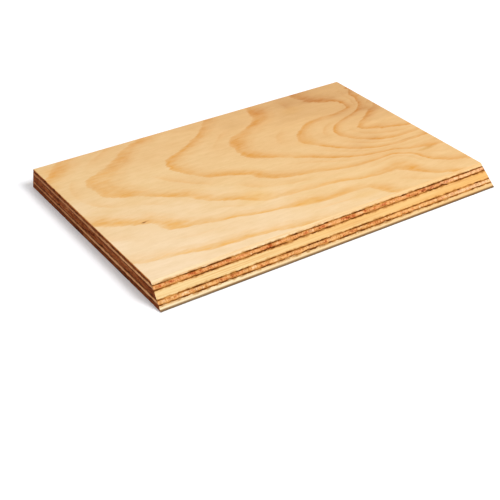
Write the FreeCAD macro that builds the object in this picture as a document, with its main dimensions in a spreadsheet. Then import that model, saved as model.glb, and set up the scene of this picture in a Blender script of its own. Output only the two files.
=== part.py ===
"""Softwood plywood panel: five veneers glued up crosswise, with one long edge sawn to a bevel.

Frame: origin at the middle of the back face, X along the grain of the face veneer, Y across the
panel with the bevelled edge towards -Y, Z up through the thickness, millimetres.  The panel lies
on its back face, which is the largest: the bevel sets the face veneer's front edge back, and both
ends are sawn a few degrees off square.
"""

import FreeCAD, Part
import math
import os
import Sketcher

SHEET = "Sizes"

# Driving dimensions: alias, value, what it measures.
SIZES = [
    ("panel_length", "304.8", "back face, end to end along the face grain, mm"),
    ("panel_width", "203.2", "back face, rear edge to the foot of the bevel, mm"),
    ("bevel_angle", "45", "lean of the front edge from upright, degrees"),
    ("end_angle", "7", "lean of both ends from upright, degrees"),
    ("back_veneer", "3.4", "thickness of the back veneer, mm"),
    ("lower_crossband", "2.6", "thickness of the lower crossband, mm"),
    ("centre_veneer", "4.9", "thickness of the centre veneer, mm"),
    ("upper_crossband", "2.6", "thickness of the upper crossband, mm"),
    ("face_veneer", "2.4", "thickness of the sanded face veneer, mm"),
    ("overrun", "5", "how far the waste of a saw cut runs past the veneer, mm"),
]

# The veneers in the order they are laid in the press, from the back face up.
LAY_UP = ["back_veneer", "lower_crossband", "centre_veneer", "upper_crossband", "face_veneer"]

# The sawn edges: name, plane of the waste's section, side of the origin, panel size across the
# cut, panel size along the cut, lean.
SAW_CUTS = [
    ("front", "YZ_Plane", -1, "panel_width", "panel_length", "bevel_angle"),
    ("left", "XZ_Plane", -1, "panel_length", "panel_width", "end_angle"),
    ("right", "XZ_Plane", 1, "panel_length", "panel_width", "end_angle"),
]

VOLUME_TOLERANCE = 1e-6


def cell(alias):
    """A reference to one cell of the sheet, for use in an expression."""
    return f"{SHEET}.{alias}"


def height_under(ply):
    """Expression for the thickness of the veneers that lie under this one."""
    under = LAY_UP[: LAY_UP.index(ply)]
    return " + ".join(cell(alias) for alias in under) or "0"


def make_sheet(doc):
    """The spreadsheet that holds the driving dimensions."""
    sheet = doc.addObject("Spreadsheet::Sheet", SHEET)
    for row, (alias, value, note) in enumerate(SIZES, start=1):
        sheet.set(f"A{row}", alias)
        sheet.set(f"B{row}", value)
        sheet.setAlias(f"B{row}", alias)
        sheet.set(f"C{row}", note)
    doc.recompute()
    return sheet


def make_sketch(body, name, role):
    """An empty sketch on one of the body's own origin planes."""
    sketch = body.newObject("Sketcher::SketchObject", name)
    plane = next(item for item in body.Origin.OriginFeatures if item.Role == role)
    sketch.AttachmentSupport = [(plane, "")]
    sketch.MapMode = "FlatFace"
    return sketch


def add_outline(sketch, corners):
    """A closed run of straight lines through the corners, joined end to end."""
    points = [FreeCAD.Vector(x, y, 0) for x, y in corners]
    following = points[1:] + points[:1]
    for start, end in zip(points, following):
        sketch.addGeometry(Part.LineSegment(start, end), False)
    for line in range(len(points)):
        joined = (line + 1) % len(points)
        sketch.addConstraint(Sketcher.Constraint("Coincident", line, 2, joined, 1))


def drive(sketch, name, constraint, expression):
    """Adds a named dimension and binds it to the sheet."""
    index = sketch.addConstraint(constraint)
    sketch.renameConstraint(index, name)
    sketch.setExpression(f"Constraints.{name}", expression)


def sheet_outline(body, ply, sheet):
    """Plan of the veneer before the edges are sawn: a rectangle centred on the origin."""
    half_x = sheet.get("panel_length") / 2
    half_y = sheet.get("panel_width") / 2
    sketch = make_sketch(body, f"{ply}_outline", "XY_Plane")
    add_outline(
        sketch, [(-half_x, -half_y), (half_x, -half_y), (half_x, half_y), (-half_x, half_y)]
    )
    sketch.addConstraint(Sketcher.Constraint("Horizontal", 0))
    sketch.addConstraint(Sketcher.Constraint("Vertical", 1))
    sketch.addConstraint(Sketcher.Constraint("Horizontal", 2))
    sketch.addConstraint(Sketcher.Constraint("Symmetric", 0, 1, 1, 2, -1, 1))
    length = Sketcher.Constraint("DistanceX", 0, 1, 0, 2, 2 * half_x)
    drive(sketch, "length", length, cell("panel_length"))
    width = Sketcher.Constraint("DistanceY", 1, 1, 1, 2, 2 * half_y)
    drive(sketch, "width", width, cell("panel_width"))
    return sketch


def from_middle(side, line, point, distance):
    """Constraint on how far out a line's point lies from the origin, on one side of it."""
    if side < 0:
        return Sketcher.Constraint("DistanceX", line, point, -1, 1, distance)
    return Sketcher.Constraint("DistanceX", -1, 1, line, point, distance)


def saw_waste(body, ply, sheet, cut):
    """Section of the wood that one saw cut takes off this veneer.

    The first line is the cut itself.  It leans in towards the panel as it rises, and it would
    meet the panel's back face at the edge of the uncut sheet.
    """
    name, role, side, across, _, angle = cut
    under = sum(sheet.get(alias) for alias in LAY_UP[: LAY_UP.index(ply)])
    half = sheet.get(across) / 2
    slope = math.tan(math.radians(sheet.get(angle)))
    over = sheet.get("overrun")
    top = sheet.get(ply) + over
    low = half - (under - over) * slope
    high = half - (under + top) * slope
    outside = half + over * (1 + slope)

    sketch = make_sketch(body, f"{ply}_{name}_waste", role)
    add_outline(
        sketch,
        [(side * low, -over), (side * high, top), (side * outside, top), (side * outside, -over)],
    )
    sketch.addConstraint(Sketcher.Constraint("Horizontal", 1))
    sketch.addConstraint(Sketcher.Constraint("Vertical", 2))
    sketch.addConstraint(Sketcher.Constraint("Horizontal", 3))

    below = Sketcher.Constraint("DistanceY", 0, 1, -1, 1, over)
    drive(sketch, "below", below, cell("overrun"))
    above = Sketcher.Constraint("DistanceY", -1, 1, 0, 2, top)
    drive(sketch, "above", above, f"{cell(ply)} + {cell('overrun')}")

    lean = f"tan({cell(angle)} * 1 deg)"
    middle = f"{cell(across)} / 2"
    floor = height_under(ply)
    drive(
        sketch,
        "cut_low",
        from_middle(side, 0, 1, low),
        f"{middle} - ({floor} - {cell('overrun')}) * {lean}",
    )
    drive(
        sketch,
        "cut_high",
        from_middle(side, 0, 2, high),
        f"{middle} - ({floor} + {cell(ply)} + {cell('overrun')}) * {lean}",
    )
    drive(
        sketch,
        "outside",
        from_middle(side, 1, 2, outside),
        f"{middle} + {cell('overrun')} * (1 + {lean})",
    )
    return sketch


def make_veneer(doc, ply, sheet):
    """One veneer: a sheet padded to its thickness, with three of its edges sawn at a lean."""
    body = doc.addObject("PartDesign::Body", f"{ply}_body")
    body.Label = ply

    pad = body.newObject("PartDesign::Pad", f"{ply}_sheet")
    pad.Profile = sheet_outline(body, ply, sheet)
    pad.setExpression("Length", cell(ply))
    doc.recompute()

    for cut in SAW_CUTS:
        pocket = body.newObject("PartDesign::Pocket", f"{ply}_{cut[0]}_cut")
        pocket.Profile = saw_waste(body, ply, sheet, cut)
        pocket.Type = "Length"
        pocket.Midplane = True
        pocket.setExpression("Length", f"{cell(cut[4])} + 2 * {cell('overrun')}")
        body.Tip = pocket
        doc.recompute()

    body.setExpression("Placement.Base.z", height_under(ply))
    doc.recompute()
    return body


def check_volume(body, ply, sheet):
    """The veneer's volume must be what its leaning edges leave, by Simpson's rule, exact here."""
    bevel = math.tan(math.radians(sheet.get("bevel_angle")))
    end = math.tan(math.radians(sheet.get("end_angle")))

    def area(height):
        length = sheet.get("panel_length") - 2 * height * end
        width = sheet.get("panel_width") - height * bevel
        return length * width

    thickness = sheet.get(ply)
    low = sum(sheet.get(alias) for alias in LAY_UP[: LAY_UP.index(ply)])
    high = low + thickness
    expected = thickness / 6 * (area(low) + 4 * area((low + high) / 2) + area(high))
    if abs(body.Shape.Volume - expected) > VOLUME_TOLERANCE * expected:
        raise RuntimeError(f"{ply}: volume {body.Shape.Volume:.2f} mm3, expected {expected:.2f}")


def check_document(doc):
    """Stops the build if any object failed to recompute."""
    for item in doc.Objects:
        if {"Invalid", "Error"} & set(item.State):
            raise RuntimeError(f"{item.Name} is {item.State}")


def check_solid(body):
    """Stops the build unless the sub-part is one valid solid."""
    shape = body.Shape
    if shape.isNull() or not shape.isValid() or len(shape.Solids) != 1:
        raise RuntimeError(f"{body.Label} is not one valid solid")


def main():
    doc = FreeCAD.newDocument("plywood_panel")
    sheet = make_sheet(doc)
    veneers = {ply: make_veneer(doc, ply, sheet) for ply in LAY_UP}
    doc.recompute()
    check_document(doc)
    for ply, body in veneers.items():
        check_solid(body)
        check_volume(body, ply, sheet)

    os.makedirs("parts", exist_ok=True)
    for body in veneers.values():
        body.Shape.exportStep(os.path.join("parts", f"{body.Label}.step"))
        box = body.Shape.BoundBox
        print(f"{body.Label}: {box.XLength:.2f} x {box.YLength:.2f} x {box.ZLength:.2f} mm")


main()
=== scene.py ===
"""Looks of a softwood plywood panel with one bevelled long edge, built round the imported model.

Units are metres in the model's own frame: X along the grain of the face veneer, Y across the panel
with the bevel towards -Y, Z up, the panel lying on its back face at Z 0.  Each veneer is replaced
by a closed mesh of the same size whose sawn edges carry real relief: saw marks where the blade ran
along the fibres, torn end grain and chips where it cut across them.  Four films of glue, which the
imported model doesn't have, show between the veneers.
"""

import math
from typing import NamedTuple

import bpy
import numpy as np
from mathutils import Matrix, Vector, geometry, noise


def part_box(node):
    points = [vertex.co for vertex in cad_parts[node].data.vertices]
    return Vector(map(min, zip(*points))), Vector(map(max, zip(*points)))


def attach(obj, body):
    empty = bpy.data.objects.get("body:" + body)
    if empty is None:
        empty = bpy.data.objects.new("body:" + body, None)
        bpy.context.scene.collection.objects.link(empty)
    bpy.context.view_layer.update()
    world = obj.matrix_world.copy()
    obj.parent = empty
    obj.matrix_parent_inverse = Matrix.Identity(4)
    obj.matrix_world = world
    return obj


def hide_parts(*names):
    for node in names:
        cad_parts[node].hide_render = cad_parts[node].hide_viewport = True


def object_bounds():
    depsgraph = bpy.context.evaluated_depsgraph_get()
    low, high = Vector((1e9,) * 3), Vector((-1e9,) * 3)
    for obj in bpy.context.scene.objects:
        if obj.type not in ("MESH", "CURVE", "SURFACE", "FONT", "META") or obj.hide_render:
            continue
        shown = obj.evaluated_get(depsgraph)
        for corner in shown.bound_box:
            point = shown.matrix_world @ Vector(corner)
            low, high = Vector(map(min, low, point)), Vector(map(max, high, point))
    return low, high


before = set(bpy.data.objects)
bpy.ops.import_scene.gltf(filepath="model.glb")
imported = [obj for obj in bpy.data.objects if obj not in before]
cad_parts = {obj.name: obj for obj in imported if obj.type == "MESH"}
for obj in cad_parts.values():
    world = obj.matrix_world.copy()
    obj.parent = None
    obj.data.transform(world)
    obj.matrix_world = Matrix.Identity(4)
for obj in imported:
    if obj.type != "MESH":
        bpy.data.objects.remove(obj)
cad_low, cad_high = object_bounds()

MM = 0.001

# ---------------------------------------------------------------------------------------------
# The panel's shape, read from the frame

LAY_UP = ["back_veneer", "lower_crossband", "centre_veneer", "upper_crossband", "face_veneer"]
CROSSBANDS = ("lower_crossband", "upper_crossband")

HEIGHTS = {ply: (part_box(ply)[0].z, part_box(ply)[1].z) for ply in LAY_UP}
FOOT_LOW, FOOT_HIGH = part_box("back_veneer")
# The cuts are flat, so the lowest corners of the two lowest veneers give their slopes.
SECOND_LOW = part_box("lower_crossband")[0]
BEVEL_SLOPE = (SECOND_LOW.y - FOOT_LOW.y) / SECOND_LOW.z
END_SLOPE = (SECOND_LOW.x - FOOT_LOW.x) / SECOND_LOW.z
TOP_Z = cad_high.z
LENGTH = cad_high.x - cad_low.x
WIDTH = cad_high.y - cad_low.y
SIZE_ALONG = {"X": LENGTH, "Y": WIDTH}

# The four sawn sides, counter-clockwise from the front-left corner, with their inward directions.
SIDES = ("front", "right", "back", "left")
INWARD = {"front": (0, 1), "right": (-1, 0), "back": (0, -1), "left": (1, 0)}
LONG_SIDES = ("front", "back")

# Distance between the columns of points on the sawn edges.
EDGE_PITCH = 0.55 * MM
# How quickly two sides' depths blend into one towards their corner.
CORNER_BLEND = 1.5 * MM


def corners_at(z, inset=0.0):
    """The panel's four corners at one height, counter-clockwise from the front-left."""
    left = FOOT_LOW.x + END_SLOPE * z + inset
    right = FOOT_HIGH.x - END_SLOPE * z - inset
    front = FOOT_LOW.y + BEVEL_SLOPE * z + inset
    back = FOOT_HIGH.y - inset
    return np.array([(left, front), (right, front), (right, back), (left, back)])


def steps_on(side):
    """How many columns a side takes, so that every height has the same columns."""
    size = LENGTH if side in LONG_SIDES else WIDTH
    return round(size / EDGE_PITCH)


def outline(z, depth_at, inset=0.0):
    """Points round the panel at one height, each set back by depth_at(side, distance along it).

    Towards a corner the two sides' depths blend into one, and the points slide along their side
    to make room for it, so the outline never crosses itself.
    """
    corners = corners_at(z, inset)
    ends = np.roll(corners, -1, axis=0)
    sizes = [np.linalg.norm(end - start) for start, end in zip(corners, ends)]
    # How far each corner is set in along both of its sides.
    shared = []
    for number, side in enumerate(SIDES):
        before = depth_at(SIDES[number - 1], sizes[number - 1])
        shared.append(min(before, depth_at(side, 0.0)) / 2)
    points = []
    for number, side in enumerate(SIDES):
        start, size = corners[number], sizes[number]
        direction = (ends[number] - start) / size
        shared_next = shared[(number + 1) % len(SIDES)]
        count = steps_on(side)
        for step in range(count):
            along = size * step / count
            near_start = math.exp(-along / CORNER_BLEND)
            near_end = math.exp((along - size) / CORNER_BLEND)
            at_start = shared[number] * near_start
            at_end = shared_next * near_end
            keep = 1 - near_start - near_end
            depth = depth_at(side, along) * keep + at_start + at_end
            slide = at_start - at_end
            points.append(start + direction * (along + slide) + np.array(INWARD[side]) * depth)
    return np.array(points)


# ---------------------------------------------------------------------------------------------
# Relief of the sawn edges, as depths behind the cut in metres


class Layer(NamedTuple):
    """One layer of noise on an edge."""

    pitch: float  # size of a wave along the edge
    stretch: float  # how many times longer a wave is through the thickness
    amount: float  # depth for noise of 1
    seed: int  # tells layers on the same edge apart
    floor: float = 0.0  # noise below this adds nothing, where only the peaks cut in


# Where the blade ran along the fibres.
SAW_MARKS = Layer(1.7 * MM, 3, 0.035 * MM, 0)
SAW_WAVES = Layer(14 * MM, 0.5, 0.05 * MM, 1)
SPLINTERS = Layer(9 * MM, 4, 1.1 * MM, 2, 0.14)
ARRIS_WEAR = Layer(4 * MM, 4, 0.22 * MM, 3)
# How far a saw mark shifts along the edge for its height.
SAW_SLANT = 0.35
SAWN_DEPTH = 0.05 * MM
SPLINTER_DEPTH = 0.2 * MM
SPLINTER_REACH = 0.34 * MM

# Where it cut across them.
CUT_FIBRES = Layer(0.9 * MM, 6, 0.1 * MM, 0)
TORN_BUNDLES = Layer(3.4 * MM, 0.9, 1.5 * MM, 1, 0.16)
CHIPS = Layer(4.2 * MM, 1.2, 2.8 * MM, 2, 0.06)
CRUMBS = Layer(1.5 * MM, 2, 0.5 * MM, 3)
CHIP_REACH = Layer(5 * MM, 1, 0.7 * MM, 5, 0.1)
TORN_DEPTH = 0.12 * MM
CHIP_DEPTH = 0.26 * MM
# The crumbs' noise goes no lower than this.
LOWEST_CRUMB = -0.2
LEAST_CHIP_REACH = 0.42 * MM
# How much less is torn beside the panel's own two arrises, and how far that reaches.
OUTER_ARRIS_SPARED = 0.75
OUTER_ARRIS_REACH = 0.6 * MM

# How far behind the cut a glue film lies, and how it follows chips deeper than a threshold.
FILM_DEPTH = 0.13 * MM
FILM_FOLLOWS = 0.6
FILM_THRESHOLD = 0.4 * MM

# Each veneer's seed on the front edge, and how much higher it is on each side after that.
RELIEF_SEEDS = {
    "face_veneer": 1,
    "back_veneer": 2,
    "centre_veneer": 3,
    "upper_crossband": 4,
    "lower_crossband": 5,
}
SEEDS_PER_SIDE = 11
# Distance between two seeds in the noise.
SEED_SPACING = 7.31


def ripple(layer, along, through, seed):
    """Smooth noise from -1 to 1 on an edge, in waves as the layer has them."""
    across = through / (layer.pitch * layer.stretch)
    return noise.noise(Vector((along / layer.pitch, across, (seed + layer.seed) * SEED_SPACING)))


def peaks(layer, along, through, seed):
    """Depth of a layer of which only the peaks cut in."""
    return layer.amount * max(0.0, ripple(layer, along, through, seed) - layer.floor)


def crumble(distance, reach):
    """How much an arris at this distance has crumbled, from 1 at the arris to 0."""
    return math.exp(-((distance / reach) ** 2))


def sawn_along_fibres(along, height, seed):
    """Nearly smooth: slanting saw marks and soft waves."""
    marks = SAW_MARKS.amount * ripple(SAW_MARKS, along + SAW_SLANT * height, height, seed)
    waves = SAW_WAVES.amount * ripple(SAW_WAVES, along, height, seed)
    return SAWN_DEPTH + marks + waves


def splintered_arris(along, height, seed):
    """How deep the arris beside a glue line has lost wood where the blade ran along the fibres."""
    wear = ARRIS_WEAR.amount * ripple(ARRIS_WEAR, along, height, seed)
    return SPLINTER_DEPTH + wear + peaks(SPLINTERS, along, height, seed)


def torn_end_grain(along, height, seed):
    """Rough: fibres cut across, with bundles of them torn out in grooves."""
    fibres = CUT_FIBRES.amount * ripple(CUT_FIBRES, along, height, seed)
    return TORN_DEPTH + fibres + peaks(TORN_BUNDLES, along, height, seed)


def chipped_arris(along, height, seed):
    """How deep the arris beside a glue line is chipped where the fibres were cut across."""
    crumbs = CRUMBS.amount * max(LOWEST_CRUMB, ripple(CRUMBS, along, height, seed))
    return CHIP_DEPTH + peaks(CHIPS, along, height, seed) + crumbs


def edge_relief(ply, side, along, height):
    """Depth of one point on a veneer's edge behind the saw cut."""
    seed = RELIEF_SEEDS[ply] + SIDES.index(side) * SEEDS_PER_SIDE
    low, high = HEIGHTS[ply]
    up, down = height - low, high - height
    # Distance to the veneer's nearest glue line.
    glued = min(up if low > cad_low.z else math.inf, down if high < cad_high.z else math.inf)
    cut_along_fibres = (side in LONG_SIDES) != (ply in CROSSBANDS)
    if cut_along_fibres:
        loss = splintered_arris(along, height, seed) * crumble(glued, SPLINTER_REACH)
        return sawn_along_fibres(along, up, seed) + loss
    reach = LEAST_CHIP_REACH + peaks(CHIP_REACH, along, 0, seed)
    loss = chipped_arris(along, height, seed) * crumble(glued, reach)
    # Distance to the panel's own arris, where that is nearer.
    outer = min(up, down) if glued != min(up, down) else math.inf
    keep = 1 - OUTER_ARRIS_SPARED * crumble(outer, OUTER_ARRIS_REACH)
    return torn_end_grain(along, up, seed) * keep + loss


def film_depth(film, side, along):
    """How far a glue film lies behind the cut: farther where the veneers beside it are chipped."""
    below, above = LAY_UP[film], LAY_UP[film + 1]
    z = HEIGHTS[above][0]
    chipped = (edge_relief(below, side, along, z) + edge_relief(above, side, along, z)) / 2
    return FILM_DEPTH + FILM_FOLLOWS * max(0.0, chipped - FILM_THRESHOLD)


# ---------------------------------------------------------------------------------------------
# Figure of the broad faces: growth rings as contours of a smooth height field

# Where the outer side of each latewood band runs on the face, ring by ring, in millimetres.
FACE_RINGS = [
    [(-150, -60), (-120, -67), (-95, -74), (-55, -77), (-20, -86)],
    [(-150, 78), (-128, 101), (-150, -2), (-130, -12), (-108, -20), (-106, -34), (-82, -42),
     (-50, -50), (-25, -56), (5, -64), (50, -66), (56, -76), (66, -86)],
    [(-55, 100), (-76, 90), (-103, 70), (-123, 60), (-125, 42), (-119, 28), (-98, 17), (-80, 3),
     (-70, -3), (-66, -12), (-42, -27), (-26, -40), (0, -43), (28, -47), (55, -54), (84, -56),
     (98, -66), (108, -76), (126, -86)],
    [(8, 100), (-14, 78), (-38, 63), (-55, 54), (-58, 40), (-50, 25), (-42, 16), (-22, 7),
     (-13, 0), (-9, -8), (12, -20), (38, -27), (60, -34), (82, -36), (100, -35), (114, -42),
     (120, -55), (134, -68), (150, -76)],
    [(50, 101), (46, 82), (28, 66), (4, 55), (2, 40), (2, 24), (20, 12), (40, -1), (58, -14),
     (78, -24), (98, -29), (118, -36), (135, -42), (150, -43)],
    [(98, 101), (101, 86), (112, 75), (125, 67), (124, 53), (110, 49), (92, 50), (74, 46),
     (60, 34), (52, 22), (63, 7), (74, -5), (88, -15), (104, -21), (126, -23), (150, -22)],
    [(150, 86), (143, 70), (137, 54), (124, 44), (106, 37), (93, 30), (86, 19), (91, 6),
     (100, -3), (110, -9), (126, -14), (150, -14)],
    [(150, 47), (138, 40), (124, 30), (114, 23), (109, 18), (122, 8), (136, 2), (150, -2)],
]
# Where the latewood flares into a broader patch, as (x, y, reach) in millimetres.
FACE_FLARES = [
    (-140, 90, 22), (-90, 82, 16), (-113, 48, 22), (-66, -8, 11), (-103, -31, 9), (-25, -32, 11),
    (54, 86, 16), (9, 52, 12), (8, 24, 8), (-10, -2, 8), (0, -58, 13), (37, -66, 10), (59, -74, 9),
    (97, -61, 9), (104, 86, 12), (137, 42, 10), (132, -43, 8), (-140, -4, 10),
]
# The same for the back, where the veneer was peeled further from the heart.
BACK_RINGS = [
    [(-150, 88), (-60, 96), (20, 84), (90, 92), (150, 80)],
    [(-150, 62), (-80, 74), (0, 58), (70, 66), (150, 50)],
    [(-150, 38), (-90, 50), (-30, 30), (40, 36), (100, 12), (150, 22)],
    [(-150, 10), (-100, 24), (-60, 2), (-20, -6), (30, 8), (76, -14), (150, -8)],
    [(-150, -22), (-112, -6), (-74, -30), (-20, -38), (24, -22), (60, -44), (150, -40)],
    [(-150, -52), (-96, -40), (-40, -66), (26, -52), (90, -72), (150, -66)],
    [(-150, -84), (-90, -72), (-30, -95), (40, -84), (150, -94)],
]
BACK_FLARES = [(-110, 60, 20), (-20, 20, 16), (70, -10, 14), (120, 70, 22), (-70, -40, 12)]


def squared_distances(a, b):
    """Squared distance from every point of a to every point of b."""
    return ((a[:, None, :] - b[None, :, :]) ** 2).sum(axis=2)


# How freely the ring field may miss the given points, so that it stays smooth.
RING_SLACK = 0.002
# The unit in which the spline works, which keeps its numbers near 1.
SPLINE_UNIT = LENGTH / 3
# The spline's plane: its height and two slopes.
PLANE_TERMS = 3
# Keeps the spline's logarithm finite where two points meet.
LEAST_SQUARE = 1e-12
# Distance over which the field's slope is taken.
SLOPE_STEP = 0.5 * MM
# Share of a ring that its latewood takes where rings are WIDE_SPACING apart, how much more it takes
# at the heart of a flare, and its limits.
WIDE_SPACING = 0.05
LATEWOOD_SHARE = 0.19
FLARE_GAIN = 1.1
SHARE_LIMITS = (0.08, 0.5)


def thin_plate(squared):
    """The thin-plate spline's kernel."""
    return 0.5 * squared * np.log(squared + LEAST_SQUARE)


def ring_field(rings, points):
    """Height of the growth rings at each point: a thin-plate spline through the given bands."""
    known = np.array([point for ring in rings for point in ring]) * MM / SPLINE_UNIT
    level = np.array([number for number, ring in enumerate(rings) for _ in ring], float)
    count = len(known)
    system = np.zeros((count + PLANE_TERMS, count + PLANE_TERMS))
    system[:count, :count] = thin_plate(squared_distances(known, known))
    system[:count, :count] += RING_SLACK * np.eye(count)
    system[:count, count] = 1
    system[:count, count + 1:] = known
    system[count:, :count] = system[:count, count:].T
    weights = np.linalg.solve(system, np.append(level, np.zeros(PLANE_TERMS)))
    wanted = points / SPLINE_UNIT
    bend = thin_plate(squared_distances(wanted, known)) @ weights[:count]
    return bend + weights[count] + wanted @ weights[count + 1:]


def ring_attributes(rings, flares, points):
    """Ring height at each point, and the share of a ring that the latewood band takes there."""
    height = ring_field(rings, points)
    east = ring_field(rings, points + np.array([SLOPE_STEP, 0]))
    north = ring_field(rings, points + np.array([0, SLOPE_STEP]))
    slope = np.hypot(east - height, north - height) / SLOPE_STEP
    share = LATEWOOD_SHARE * np.cbrt(slope * WIDE_SPACING)
    for x, y, reach in flares:
        away = np.hypot(points[:, 0] - x * MM, points[:, 1] - y * MM) / (reach * MM)
        share = share * (1 + FLARE_GAIN * np.exp(-(away**2)))
    return height, np.clip(share, *SHARE_LIMITS)


# ---------------------------------------------------------------------------------------------
# Meshes

# Where the rows of points lie up a veneer's edge, closest beside its arrises.
EDGE_ROWS = (0, 0.05, 0.12, 0.22, 0.36, 0.5, 0.64, 0.78, 0.88, 0.95, 1)
# Distance between the points inside the broad faces: the face, the back, and those that are hidden.
FIGURE_PITCH = 2.2 * MM
BACK_PITCH = 3 * FIGURE_PITCH
HIDDEN_PITCH = 14 * MM
# How far the grid of inner points stays inside a broad face's outline, in pitches.
GRID_MARGIN = 0.6
# What the triangulation is asked for, and the distance under which it takes two points as one.
INSIDE_ONLY = 1
SAME_POINT = 1e-9
# Wear beside the panel's outer faces: how high the rounded foot is, how deep it goes as a share of
# that, and how far down the eased top arris reaches.
FOOT_ROUNDING = 0.7 * MM
FOOT_WEAR = 0.8
ARRIS_EASING = 0.2 * MM
# Half the height of a glue film, and how far inwards it reaches.
GLUE_HALF_WIDTH = 0.5 * MM
GLUE_REACH = 4 * MM


def easing(z):
    """How far wear sets an edge back near the panel's two outer faces."""
    above_floor = z / FOOT_ROUNDING
    below_top = (TOP_Z - z) / ARRIS_EASING
    foot = arris = 0
    if above_floor < 1:
        foot = FOOT_ROUNDING * FOOT_WEAR * (1 - math.sqrt(1 - (1 - above_floor) ** 2))
    if below_top < 1:
        arris = ARRIS_EASING * (1 - below_top) ** 2
    return foot + arris


def edge_rings(ply):
    """Rows of points up a veneer's edge, as (height, outline)."""
    low, high = HEIGHTS[ply]
    rings = []
    for share_up in EDGE_ROWS:
        z = low + (high - low) * share_up

        def depth_at(side, along):
            return edge_relief(ply, side, along, z) + easing(z)

        rings.append((z, outline(z, depth_at)))
    return rings


def edge_faces(rings, closed, slot):
    """Quads between each ring of points and the next, and back to the first one if closed.

    Returns the faces and their materials: slot along the long edges and the one after it at the
    ends.
    """
    sides = [side for side in SIDES for _ in range(steps_on(side))]
    count = len(sides)
    faces, slots = [], []
    for row in range(len(rings) if closed else len(rings) - 1):
        below, above = row * count, (row + 1) % len(rings) * count
        for column, side in enumerate(sides):
            following = (column + 1) % count
            faces.append((below + column, below + following, above + following, above + column))
            slots.append(slot if side in LONG_SIDES else slot + 1)
    return faces, slots


def new_mesh(name, vertices, faces, slots):
    mesh = bpy.data.meshes.new(name)
    mesh.from_pydata(vertices, [], faces)
    mesh.polygons.foreach_set("material_index", slots)
    mesh.update()
    return mesh


def cap(edge, pitch):
    """Triangles that fill an outline, with inner points on a grid.

    Returns points and triangles, where the first points are the outline's own.
    """
    low, high = edge.min(axis=0) + pitch * GRID_MARGIN, edge.max(axis=0) - pitch * GRID_MARGIN
    xs = np.linspace(low[0], high[0], max(2, round((high[0] - low[0]) / pitch)))
    ys = np.linspace(low[1], high[1], max(2, round((high[1] - low[1]) / pitch)))
    inner = [(x, y) for y in ys for x in xs]
    points = [Vector(p) for p in edge] + [Vector(p) for p in inner]
    loop = list(range(len(edge)))
    filled = geometry.delaunay_2d_cdt(points, [], [loop], INSIDE_ONLY, SAME_POINT)
    _, _, triangles, source, _, _ = filled
    index = [given[0] for given in source]
    return points, [[index[i] for i in triangle] for triangle in triangles]


def veneer_mesh(ply, top_pitch, bottom_pitch):
    """One veneer as a closed mesh.  Face materials: 0 broad faces, 1 long edges, 2 ends."""
    rings = edge_rings(ply)
    count = len(rings[0][1])
    vertices = [(x, y, z) for z, ring in rings for x, y in ring]
    faces, slots = edge_faces(rings, False, 1)
    for ring_number, pitch, upward in ((0, bottom_pitch, False), (len(rings) - 1, top_pitch, True)):
        z, ring = rings[ring_number]
        points, triangles = cap(ring, pitch)
        start = len(vertices) - count
        vertices += [(p.x, p.y, z) for p in points[count:]]
        first = ring_number * count
        for triangle in triangles:
            corners = [first + i if i < count else start + i for i in triangle]
            faces.append(tuple(corners if upward else reversed(corners)))
            slots.append(0)
    return new_mesh(f"{ply}_finish", vertices, faces, slots)


def add_figure(mesh, rings, flares):
    """Stores the growth-ring field on the mesh for the figured material."""
    points = np.array([vertex.co[:2] for vertex in mesh.vertices])
    height, share = ring_attributes(rings, flares, points)
    mesh.attributes.new("ring", "FLOAT", "POINT").data.foreach_set("value", height)
    mesh.attributes.new("band_share", "FLOAT", "POINT").data.foreach_set("value", share)


def glue_mesh(film):
    """The glue film between two veneers, as it shows in the groove there: a closed flat ring.

    Face materials: 0 along the long edges, 1 at the ends.
    """
    middle = HEIGHTS[LAY_UP[film + 1]][0]
    bottom, top = middle - GLUE_HALF_WIDTH, middle + GLUE_HALF_WIDTH

    def depth_at(side, along):
        return film_depth(film, side, along)

    rings = [
        (z, outline(z, depth_at, inset))
        for z, inset in ((bottom, 0.0), (top, 0.0), (top, GLUE_REACH), (bottom, GLUE_REACH))
    ]
    vertices = [(x, y, z) for z, ring in rings for x, y in ring]
    faces, slots = edge_faces(rings, True, 0)
    return new_mesh(f"glue_film_{film + 1}_finish", vertices, faces, slots)


# ---------------------------------------------------------------------------------------------
# Materials


def colour(red, green, blue):
    """An sRGB screen colour, 0 to 255 a channel, as the linear colour that the shader takes."""
    linear = []
    for value in (red, green, blue):
        share = value / 255
        linear.append(share / 12.92 if share <= 0.04045 else ((share + 0.055) / 1.055) ** 2.4)
    return (*linear, 1.0)


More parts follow.
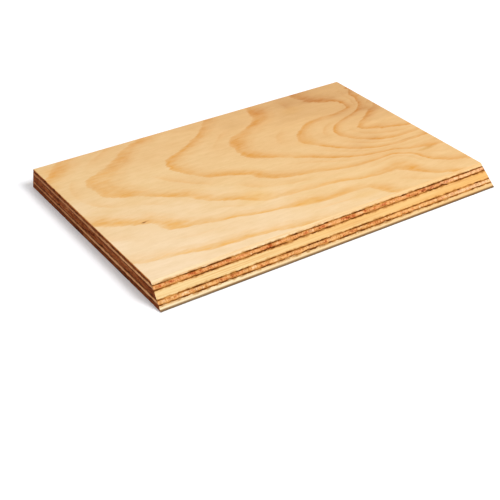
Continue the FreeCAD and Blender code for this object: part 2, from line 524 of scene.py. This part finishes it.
class Graph:
    """Short-hand for building one material's nodes."""

    def __init__(self, name, roughness, gloss):
        self.material = bpy.data.materials.new(name)
        self.material.use_nodes = True
        self.nodes = self.material.node_tree.nodes
        self.links = self.material.node_tree.links
        self.shader = self.nodes["Principled BSDF"]
        self.shader.inputs["Roughness"].default_value = roughness
        self.shader.inputs["Specular IOR Level"].default_value = gloss
        self.position = self.node("ShaderNodeTexCoord").outputs["Object"]

    def node(self, kind, **settings):
        made = self.nodes.new(kind)
        for name, value in settings.items():
            setattr(made, name, value)
        return made

    def put(self, socket, value):
        """Links a socket to another, or sets its value."""
        if isinstance(value, bpy.types.NodeSocket):
            self.links.new(value, socket)
        else:
            socket.default_value = value

    def math(self, operation, *values):
        made = self.node("ShaderNodeMath", operation=operation)
        for socket, value in zip(made.inputs, values):
            self.put(socket, value)
        return made.outputs[0]

    def scaled(self, factors, vector):
        """A vector with each axis multiplied by its own factor."""
        made = self.node("ShaderNodeVectorMath", operation="MULTIPLY")
        self.put(made.inputs[0], vector)
        made.inputs[1].default_value = factors
        return made.outputs[0]

    def noise(self, waves, detail=2.0, roughness=0.5):
        """Noise from 0 to 1, with so many waves to the metre on each axis."""
        made = self.node("ShaderNodeTexNoise")
        self.put(made.inputs["Vector"], self.scaled(waves, self.position))
        made.inputs["Scale"].default_value = 1.0
        made.inputs["Detail"].default_value = detail
        made.inputs["Roughness"].default_value = roughness
        return made.outputs["Fac"]

    def ramp(self, factor, *stops, smooth=False):
        """Maps a factor through (position, value) stops, where a value is a number or a colour."""
        made = self.node("ShaderNodeValToRGB")
        self.put(made.inputs["Fac"], factor)
        made.color_ramp.interpolation = "EASE" if smooth else "LINEAR"
        elements = made.color_ramp.elements
        while len(elements) < len(stops):
            elements.new(0.5)
        for element, (position, value) in zip(elements, stops):
            element.position = position
            element.color = value if isinstance(value, tuple) else (value, value, value, 1)
        return made.outputs["Color"]

    def mix(self, factor, a, b, blend="MIX"):
        made = self.node("ShaderNodeMix", data_type="RGBA", blend_type=blend)
        self.put(made.inputs["Factor"], factor)
        self.put(made.inputs["A"], a)
        self.put(made.inputs["B"], b)
        return made.outputs["Result"]

    def attribute(self, name):
        return self.node("ShaderNodeAttribute", attribute_name=name).outputs["Fac"]

    def bump(self, height, distance, strength):
        made = self.node("ShaderNodeBump")
        self.put(made.inputs["Height"], height)
        made.inputs["Distance"].default_value = distance
        made.inputs["Strength"].default_value = strength
        self.links.new(made.outputs["Normal"], self.shader.inputs["Normal"])

    def centred(self, noise_value, amount):
        """Noise from 0 to 1 as a swing of the given amount about zero."""
        return self.math("MULTIPLY", self.math("SUBTRACT", noise_value, 0.5), amount)

    def coordinate(self, axis):
        made = self.node("ShaderNodeSeparateXYZ")
        self.links.new(self.position, made.inputs[0])
        return made.outputs[axis]

    def share_along(self, axis):
        """How far along the panel a point is on one axis, from 0 to 1."""
        return self.math("MULTIPLY_ADD", self.coordinate(axis), 1 / SIZE_ALONG[axis], 0.5)

    def distance_from(self, z):
        """How far above or below one height a point is."""
        return self.math("ABSOLUTE", self.math("SUBTRACT", self.coordinate("Z"), z))

    def tinted(self, base, factor, *stops):
        """The base colour multiplied by a ramp of the factor."""
        return self.mix(1.0, base, self.ramp(factor, *stops), "MULTIPLY")

    def finish(self, base):
        self.put(self.shader.inputs["Base Color"], base)
        return self.material


# How far ahead of a given ring its latewood starts, and its false ring, in rings.
BAND_LEAD = 0.06
FALSE_RING_LEAD = 0.42


def figured_face(name, early, late):
    """Sanded rotary-cut face: pale earlywood, latewood bands along the stored growth rings.

    early and late each hold four colours, from the front left to the back right, which darken along a
    painted light falloff.
    """
    graph = Graph(name, roughness=0.62, gloss=0.2)

    # The rings wander, most of all near the right end, where the figure crowds together.
    wobble = graph.noise((50, 130, 1), detail=4, roughness=0.6)
    fibre_wobble = graph.noise((70, 700, 1), detail=2)
    knotty = graph.ramp(graph.share_along("X"), (0.84, 0.18), (0.95, 0.5))
    ring = graph.math("ADD", graph.attribute("ring"), graph.centred(wobble, knotty))
    ring = graph.math("ADD", ring, graph.centred(fibre_wobble, 0.09))

    # One latewood band to a ring, sharp on its outer side, fading inwards, and broken into patches.
    phase = graph.math("FRACT", graph.math("ADD", ring, BAND_LEAD))
    reach = graph.math("DIVIDE", phase, graph.attribute("band_share"))
    band = graph.ramp(
        graph.math("MULTIPLY", reach, 0.5),
        (0.0, 0.0), (0.08, 0.85), (0.16, 1.0), (0.32, 0.72), (0.6, 0.26), (0.95, 0.0), smooth=True,
    )
    patches = graph.noise((26, 60, 1), detail=3)
    band = graph.math("MULTIPLY", band, graph.ramp(patches, (0.36, 0.45), (0.58, 1.0)))
    grain = graph.noise((90, 300, 1), detail=3, roughness=0.65)
    band = graph.math("MULTIPLY", band, graph.ramp(grain, (0.34, 0.62), (0.6, 1.0)))

    # A fainter false ring between the bands, in some places only.
    false_phase = graph.math("FRACT", graph.math("ADD", ring, FALSE_RING_LEAD))
    false_ring = graph.ramp(false_phase, (0.0, 0.0), (0.05, 0.32), (0.16, 0.12), (0.3, 0.0))
    faint = graph.ramp(graph.noise((13, 26, 1), detail=1), (0.46, 0.0), (0.62, 1.0))
    band = graph.math("MAXIMUM", band, graph.math("MULTIPLY", false_ring, faint))

    # Painted light falloff: the colours darken from the front left to the back right, with soft clouds
    # of the wood's own tone.
    across = graph.math("MULTIPLY", graph.share_along("Y"), 0.5)
    along = graph.math("MULTIPLY", graph.share_along("X"), 0.5)
    clouds = graph.noise((16, 36, 1), detail=3)
    tone = graph.math("ADD", graph.math("ADD", across, along), graph.centred(clouds, 0.5))
    stops = (0.1, 0.42, 0.7, 0.94)
    earlywood = graph.ramp(tone, *zip(stops, early))
    latewood = graph.ramp(tone, *zip(stops, late))
    wood = graph.mix(band, earlywood, latewood)

    # Mottling, streaks along the fibres, and pores.
    mottle = graph.noise((70, 190, 1), detail=3, roughness=0.6)
    wood = graph.tinted(wood, mottle, (0.36, (0.965, 0.95, 0.9, 1)), (0.62, 1.0))
    streaks = graph.noise((18, 420, 1), detail=4, roughness=0.6)
    wood = graph.tinted(wood, streaks, (0.3, (0.965, 0.95, 0.92, 1)), (0.65, 1.0))
    pores = graph.noise((140, 2600, 1), detail=1)
    wood = graph.tinted(wood, pores, (0.27, (0.92, 0.88, 0.82, 1)), (0.36, 1.0))
    relief = graph.math("ADD", streaks, graph.math("MULTIPLY", pores, 0.5))
    graph.bump(relief, distance=0.08 * MM, strength=0.4)
    return graph, wood


# Tints of wood that glue has soaked: along a long edge, at an end, and farther from the glue. The
# end's tint is darker and redder, painted shade for the end faces on top of the stain.
STAIN = (0.54, 0.38, 0.23, 1)
END_STAIN_AND_SHADE = (0.44, 0.28, 0.16, 1)
FAINT_STAIN = (0.87, 0.77, 0.64, 1)
STAIN_REACH = 1.7 * MM


def glue_stained(graph, wood, ply, stain):
    """The wood browned beside the veneer's glue lines, unevenly.  stain is the deepest tint."""
    spread = graph.noise((190, 190, 60), detail=3, roughness=0.65)
    reach = graph.math("MULTIPLY", graph.ramp(spread, (0.34, 0.12), (0.68, 1.0)), STAIN_REACH)
    for z in HEIGHTS[ply]:
        if cad_low.z < z < cad_high.z:
            share = graph.math("DIVIDE", graph.distance_from(z), reach)
            wood = graph.tinted(wood, share, (0.3, stain), (0.62, FAINT_STAIN), (1.0, 1.0))
    return wood


def painted_arris_highlight(graph, wood, pale):
    """A painted highlight on the arris: the wood made paler just below the panel's top face."""
    millimetres_below = graph.math("DIVIDE", graph.distance_from(TOP_Z), MM)
    return graph.mix(graph.ramp(millimetres_below, (0.2, 0.85), (0.75, 0.0)), wood, pale)


def long_grain(name, ply, fibre_axis, near, far, streak):
    """Edge sawn along the fibres: pale, with fine streaks that run with them.

    near and far are its colours at the two ends of the fibres' axis.
    """
    graph = Graph(name, roughness=0.7, gloss=0.12)
    fine = (14, 900, 900) if fibre_axis == "X" else (900, 14, 900)
    broad = (9, 160, 160) if fibre_axis == "X" else (160, 9, 160)
    streaks = graph.noise(fine, detail=4, roughness=0.65)
    clouds = graph.noise(broad, detail=2)
    tone = graph.math("ADD", graph.share_along(fibre_axis), graph.centred(clouds, 0.8))
    wood = graph.ramp(tone, (0.1, near), (0.85, far))
    wood = graph.mix(graph.ramp(streaks, (0.46, 0.0), (0.66, 0.85)), wood, streak)
    graph.bump(streaks, distance=0.12 * MM, strength=0.6)
    return graph, glue_stained(graph, wood, ply, STAIN if fibre_axis == "X" else END_STAIN_AND_SHADE)


def end_grain(name, ply, edge_axis, pale, mid, red, dark):
    """Edge sawn across the fibres: rough and blotched in the wood's own reds, with painted shade in
    its torn pits and painted highlights on the raised parts between them.

    It is blotched along the long edges, and drier and paler near their right end.  At the ends it
    is streaked, because the growth rings run along the ply there.
    """
    graph = Graph(name, roughness=0.85, gloss=0.06)
    if edge_axis == "X":
        fine, broad = (900, 450, 700), (150, 150, 230)
        spread = (0.34, 0.42, 0.49, 0.57, 0.66)
    else:
        fine, broad = (450, 900, 700), (150, 60, 520)
        spread = (0.37, 0.43, 0.48, 0.54, 0.61)
    blotches_shade_and_highlight = graph.noise(broad, detail=5, roughness=0.72)
    # The darkest stop, on the bump's low pits, is painted shade; the palest, on the raised parts, a
    # painted highlight; red and mid are the wood's own tone.
    wood = graph.ramp(blotches_shade_and_highlight, *zip(spread, (dark, red, mid, mid, pale)))
    if edge_axis == "X":
        dry = graph.ramp(graph.share_along("X"), (0.78, 0.0), (0.92, 0.6))
        wood = graph.mix(dry, wood, pale)
    fibres = graph.noise(fine, detail=2, roughness=0.7)
    wood = graph.tinted(wood, fibres, (0.34, (0.66, 0.5, 0.38, 1)), (0.5, 1.0))
    graph.bump(graph.math("ADD", blotches_shade_and_highlight, fibres), distance=0.3 * MM, strength=0.8)
    return graph, glue_stained(graph, wood, ply, STAIN if edge_axis == "X" else END_STAIN_AND_SHADE)


def glue_line(name, dark, mid, pale):
    """Resin film, dark along its middle and browner to both sides, where it has soaked unevenly."""
    graph = Graph(name, roughness=0.7, gloss=0.05)
    # Distance from the middle of the nearest film, which is always less than the panel's thickness.
    from_middle = TOP_Z
    for ply in LAY_UP[1:]:
        from_middle = graph.math("MINIMUM", graph.distance_from(HEIGHTS[ply][0]), from_middle)
    soaked = graph.noise((260, 260, 500), detail=4, roughness=0.65)
    pooled = graph.noise((120, 120, 60), detail=2)
    tone = graph.math("DIVIDE", from_middle, GLUE_HALF_WIDTH)
    tone = graph.math("ADD", tone, graph.centred(soaked, 1.0))
    tone = graph.math("ADD", tone, graph.centred(pooled, 3.0))
    base = graph.ramp(tone, (0.15, dark), (0.55, mid), (1.0, pale))
    graph.bump(soaked, distance=0.2 * MM, strength=0.6)
    return graph.finish(base)


# ---------------------------------------------------------------------------------------------
# The object


def add_piece(mesh, materials):
    """Puts a mesh in the scene as a piece of the panel."""
    piece = bpy.data.objects.new(mesh.name, mesh)
    bpy.context.scene.collection.objects.link(piece)
    for material in materials:
        mesh.materials.append(material)
    return piece


# Small marks in the face: x, y, half length and half width in millimetres, and the heart's tint.
FACE_MARKS = [
    (-117.6, -17.5, 2.4, 1.0, (0.3, 0.18, 0.1, 1)),
    (-115.2, -16.9, 3.4, 0.8, (0.72, 0.56, 0.42, 1)),
    (137, 44, 9, 6, (0.9, 0.82, 0.72, 1)),
    (131, -43, 12, 2.6, (0.88, 0.78, 0.56, 1)),
    (127, -21, 14, 1.4, (0.9, 0.82, 0.7, 1)),
    (128, 30, 9, 2.0, (0.9, 0.82, 0.72, 1)),
    (104, 82, 12, 5, (0.94, 0.88, 0.8, 1)),
    (54, 86, 11, 9, (0.95, 0.87, 0.76, 1)),
    (-28, -32, 20, 13, (1.0, 0.96, 0.82, 1)),
    (-141, 90, 14, 10, (0.98, 0.89, 0.75, 1)),
    (0, -60, 16, 5, (1.0, 0.98, 0.86, 1)),
    (40, -75, 18, 6, (0.99, 0.96, 0.88, 1)),
    (80, 75, 14, 9, (0.99, 0.96, 0.86, 1)),
    (56, 20, 12, 8, (1.0, 0.97, 0.86, 1)),
]


def marked(graph, wood, marks):
    """The wood with soft-edged marks: a pin knot with a short tail, and patches of resin."""
    for x, y, half_length, half_width, tint in marks:
        offset = graph.node("ShaderNodeVectorMath", operation="SUBTRACT")
        graph.links.new(graph.position, offset.inputs[0])
        offset.inputs[1].default_value = (x * MM, y * MM, TOP_Z)
        to_share = (1 / (half_length * MM), 1 / (half_width * MM), 1)
        distance = graph.node("ShaderNodeVectorMath", operation="LENGTH")
        graph.links.new(graph.scaled(to_share, offset.outputs[0]), distance.inputs[0])
        wood = graph.tinted(wood, distance.outputs["Value"], (0.25, tint), (1.0, 1.0))
    return wood


def face_veneer():
    mesh = veneer_mesh("face_veneer", FIGURE_PITCH, HIDDEN_PITCH)
    add_figure(mesh, FACE_RINGS, FACE_FLARES)
    graph, wood = figured_face(
        "sanded_face",
        # From the front left to the back right these darken as a painted light falloff.
        early=(
            colour(248, 220, 182), colour(239, 202, 148), colour(232, 188, 130), colour(213, 166, 110),
        ),
        late=(
            colour(240, 184, 98), colour(229, 166, 78), colour(218, 150, 66), colour(190, 120, 50),
        ),
    )
    figure = graph.finish(marked(graph, wood, FACE_MARKS))
    graph, wood = long_grain(
        "face_edge", "face_veneer", "X",
        colour(245, 218, 174), colour(236, 196, 138), colour(226, 178, 120),
    )
    edge = graph.finish(wood)
    graph, wood = end_grain(
        "face_end", "face_veneer", "Y",
        colour(216, 124, 54), colour(188, 96, 34), colour(166, 74, 24), colour(112, 44, 8),
    )
    # The end's top arris gets a painted highlight, a paler strip just below the top face.
    end = graph.finish(painted_arris_highlight(graph, wood, colour(252, 194, 124)))
    return add_piece(mesh, [figure, edge, end])


# Painted shade along the foot of the long edges, darker towards the floor: tints at heights given as
# shares of the height that it reaches.
FOOT_SHADE_HEIGHT = 4 * MM
FOOT_SHADE_TINTS = ((0.16, (0.2, 0.17, 0.14, 1)), (0.3, (0.42, 0.33, 0.25, 1)), (0.42, 1.0))


def back_veneer():
    mesh = veneer_mesh("back_veneer", HIDDEN_PITCH, BACK_PITCH)
    add_figure(mesh, BACK_RINGS, BACK_FLARES)
    graph, wood = figured_face(
        "back_face",
        # From the front left to the back right these darken as a painted light falloff.
        early=(
            colour(244, 210, 164), colour(238, 200, 148), colour(232, 190, 136), colour(224, 178, 122),
        ),
        late=(
            colour(232, 182, 118), colour(224, 168, 102), colour(216, 156, 92), colour(208, 144, 82),
        ),
    )
    figure = graph.finish(wood)
    graph, wood = long_grain(
        "back_edge", "back_veneer", "X",
        colour(246, 226, 186), colour(234, 194, 136), colour(226, 182, 122),
    )
    # Painted shade: the long edges darken towards their foot on the floor.
    share_up = graph.math("DIVIDE", graph.coordinate("Z"), FOOT_SHADE_HEIGHT)
    edge = graph.finish(graph.tinted(wood, share_up, *FOOT_SHADE_TINTS))
    graph, wood = end_grain(
        "back_end", "back_veneer", "Y",
        colour(188, 110, 58), colour(156, 80, 38), colour(140, 66, 30), colour(96, 42, 14),
    )
    return add_piece(mesh, [figure, edge, graph.finish(wood)])


def centre_veneer():
    mesh = veneer_mesh("centre_veneer", HIDDEN_PITCH, HIDDEN_PITCH)
    graph, wood = long_grain(
        "centre_edge", "centre_veneer", "X",
        colour(241, 209, 150), colour(233, 180, 106), colour(220, 160, 90),
    )
    edge = graph.finish(wood)
    graph, wood = end_grain(
        "centre_end", "centre_veneer", "Y",
        colour(214, 134, 82), colour(176, 96, 50), colour(154, 76, 38), colour(104, 46, 18),
    )
    return add_piece(mesh, [edge, edge, graph.finish(wood)])


def crossband(ply, pale, mid, red, dark):
    mesh = veneer_mesh(ply, HIDDEN_PITCH, HIDDEN_PITCH)
    graph, wood = end_grain(f"{ply}_torn", ply, "X", pale, mid, red, dark)
    torn = graph.finish(wood)
    graph, wood = long_grain(
        f"{ply}_end", ply, "Y",
        colour(252, 188, 130), colour(208, 136, 84), colour(198, 122, 70),
    )
    ends = graph.finish(wood)
    return add_piece(mesh, [ends, torn, ends])


def glue_films():
    """The four films, each between one veneer and the next above it."""
    resin = [
        glue_line("glue_long", colour(98, 50, 8), colour(162, 98, 34), colour(212, 150, 80)),
        # The copy for the ends is darker and redder: painted shade for the end faces on top of the
        # resin's colour.
        glue_line("glue_end_painted_shade", colour(72, 30, 12), colour(120, 60, 28), colour(168, 98, 58)),
    ]
    return [add_piece(glue_mesh(film), resin) for film in range(len(LAY_UP) - 1)]


def build_panel():
    veneers = {
        "face_veneer": face_veneer(),
        "back_veneer": back_veneer(),
        "centre_veneer": centre_veneer(),
        "upper_crossband": crossband(
            "upper_crossband",
            colour(252, 204, 154), colour(236, 168, 104), colour(214, 118, 66), colour(138, 66, 24),
        ),
        "lower_crossband": crossband(
            "lower_crossband",
            colour(252, 214, 168), colour(240, 182, 116), colour(226, 144, 84), colour(160, 90, 40),
        ),
    }
    for ply, piece in veneers.items():
        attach(piece, "root")
        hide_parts(ply)
    for film in glue_films():
        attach(film, "root")


# ---------------------------------------------------------------------------------------------
# Floor, light and camera

FLOOR_HALF = 3.0
FLOOR_COLOUR = (0.86, 0.86, 0.88, 1)
# How the floor glows where it is seen, from near the panel to farther off: the distances from the
# middle, and the strengths there.
FLOOR_GLOW = (("From Min", 0.25), ("From Max", 1.2), ("To Min", 0.24), ("To Max", 1.0))
WHITE = (1, 1, 1, 1)
# Strength of the world as light on the object, and as the background that is seen.
FILL_STRENGTH = 0.3
SEEN_STRENGTH = 1.0
LAMP_DISTANCE = 2.6

# The reference view, fitted to where it shows the panel's corners.  Angles are in degrees, and the
# target is a share of the panel's length and width away from its middle.
VIEW_AZIMUTH, VIEW_ELEVATION, VIEW_ROLL = -33.87, 32.81, 0.11
VIEW_DISTANCE = 0.7641
VIEW_TARGET = (-0.2425, -0.446)
SENSOR_WIDTH = 36
FOCAL_LENGTH = 78.94


def white_when_seen(nodes, links):
    """Factor that is 1 for rays that show the background: camera, glossy and transmission."""
    path = nodes.new("ShaderNodeLightPath")
    factor = path.outputs["Is Camera Ray"]
    for name in ("Is Glossy Ray", "Is Transmission Ray"):
        either = nodes.new("ShaderNodeMath")
        either.operation = "MAXIMUM"
        links.new(factor, either.inputs[0])
        links.new(path.outputs[name], either.inputs[1])
        factor = either.outputs[0]
    return factor


def make_floor():
    """A plain white floor that keeps the panel's shadow and fades to pure white farther off."""
    corners = [(x * FLOOR_HALF, y * FLOOR_HALF, 0) for x, y in ((-1, -1), (1, -1), (1, 1), (-1, 1))]
    mesh = bpy.data.meshes.new("floor")
    mesh.from_pydata(corners, [], [(0, 1, 2, 3)])
    floor = bpy.data.objects.new("floor", mesh)
    bpy.context.scene.collection.objects.link(floor)
    material = bpy.data.materials.new("floor")
    material.use_nodes = True
    shader = material.node_tree.nodes["Principled BSDF"]
    shader.inputs["Base Color"].default_value = FLOOR_COLOUR
    shader.inputs["Roughness"].default_value = 0.9
    shader.inputs["Specular IOR Level"].default_value = 0.1
    shader.inputs["Emission Color"].default_value = WHITE
    nodes, links = material.node_tree.nodes, material.node_tree.links
    away = nodes.new("ShaderNodeVectorMath")
    away.operation = "LENGTH"
    links.new(nodes.new("ShaderNodeTexCoord").outputs["Object"], away.inputs[0])
    glow = nodes.new("ShaderNodeMapRange")
    for name, value in FLOOR_GLOW:
        glow.inputs[name].default_value = value
    links.new(away.outputs["Value"], glow.inputs["Value"])
    lift = nodes.new("ShaderNodeMath")
    lift.operation = "MULTIPLY"
    links.new(white_when_seen(nodes, links), lift.inputs[0])
    links.new(glow.outputs["Result"], lift.inputs[1])
    links.new(lift.outputs[0], shader.inputs["Emission Strength"])
    mesh.materials.append(material)


def make_world():
    """Soft fill from all round, white where it is seen."""
    world = bpy.data.worlds.new("studio")
    bpy.context.scene.world = world
    world.use_nodes = True
    nodes, links = world.node_tree.nodes, world.node_tree.links
    background = nodes["Background"]
    background.inputs["Color"].default_value = WHITE
    strength = nodes.new("ShaderNodeMix")
    strength.inputs["A"].default_value = FILL_STRENGTH
    strength.inputs["B"].default_value = SEEN_STRENGTH
    links.new(white_when_seen(nodes, links), strength.inputs["Factor"])
    links.new(strength.outputs["Result"], background.inputs["Strength"])


def towards(azimuth, elevation):
    """Unit vector from the panel, for angles in degrees: azimuth 0 is in front, 90 at the right."""
    a, e = math.radians(azimuth), math.radians(elevation)
    return Vector((math.sin(a) * math.cos(e), -math.cos(a) * math.cos(e), math.sin(e)))


def add_lamp(name, azimuth, elevation, size, watts):
    """A soft square lamp that looks at the panel."""
    lamp = bpy.data.lights.new(name, "AREA")
    lamp.size = size
    lamp.energy = watts
    place = towards(azimuth, elevation)
    holder = bpy.data.objects.new(name, lamp)
    holder.location = place * LAMP_DISTANCE
    holder.rotation_mode = "QUATERNION"
    holder.rotation_quaternion = place.to_track_quat("Z", "Y")
    bpy.context.scene.collection.objects.link(holder)


def make_lights():
    add_lamp("key", azimuth=36, elevation=52, size=1.1, watts=59)
    add_lamp("back_fill", azimuth=170, elevation=35, size=1.6, watts=11)


def make_camera():
    """Looks down on the panel from the front left, as in the reference view."""
    target = Vector((VIEW_TARGET[0] * LENGTH, VIEW_TARGET[1] * WIDTH, TOP_Z))
    back = towards(VIEW_AZIMUTH, VIEW_ELEVATION)
    data = bpy.data.cameras.new("camera")
    data.sensor_width = SENSOR_WIDTH
    data.lens = FOCAL_LENGTH
    data.clip_start = 0.01
    camera = bpy.data.objects.new("camera", data)
    camera.location = target + back * VIEW_DISTANCE
    camera.rotation_euler = (-back).to_track_quat("-Z", "Y").to_euler()
    camera.rotation_euler.rotate_axis("Z", math.radians(VIEW_ROLL))
    bpy.context.scene.collection.objects.link(camera)
    bpy.context.scene.camera = camera


build_panel()
make_floor()
make_world()
make_lights()
make_camera()
bpy.context.scene.view_settings.view_transform = "Standard"
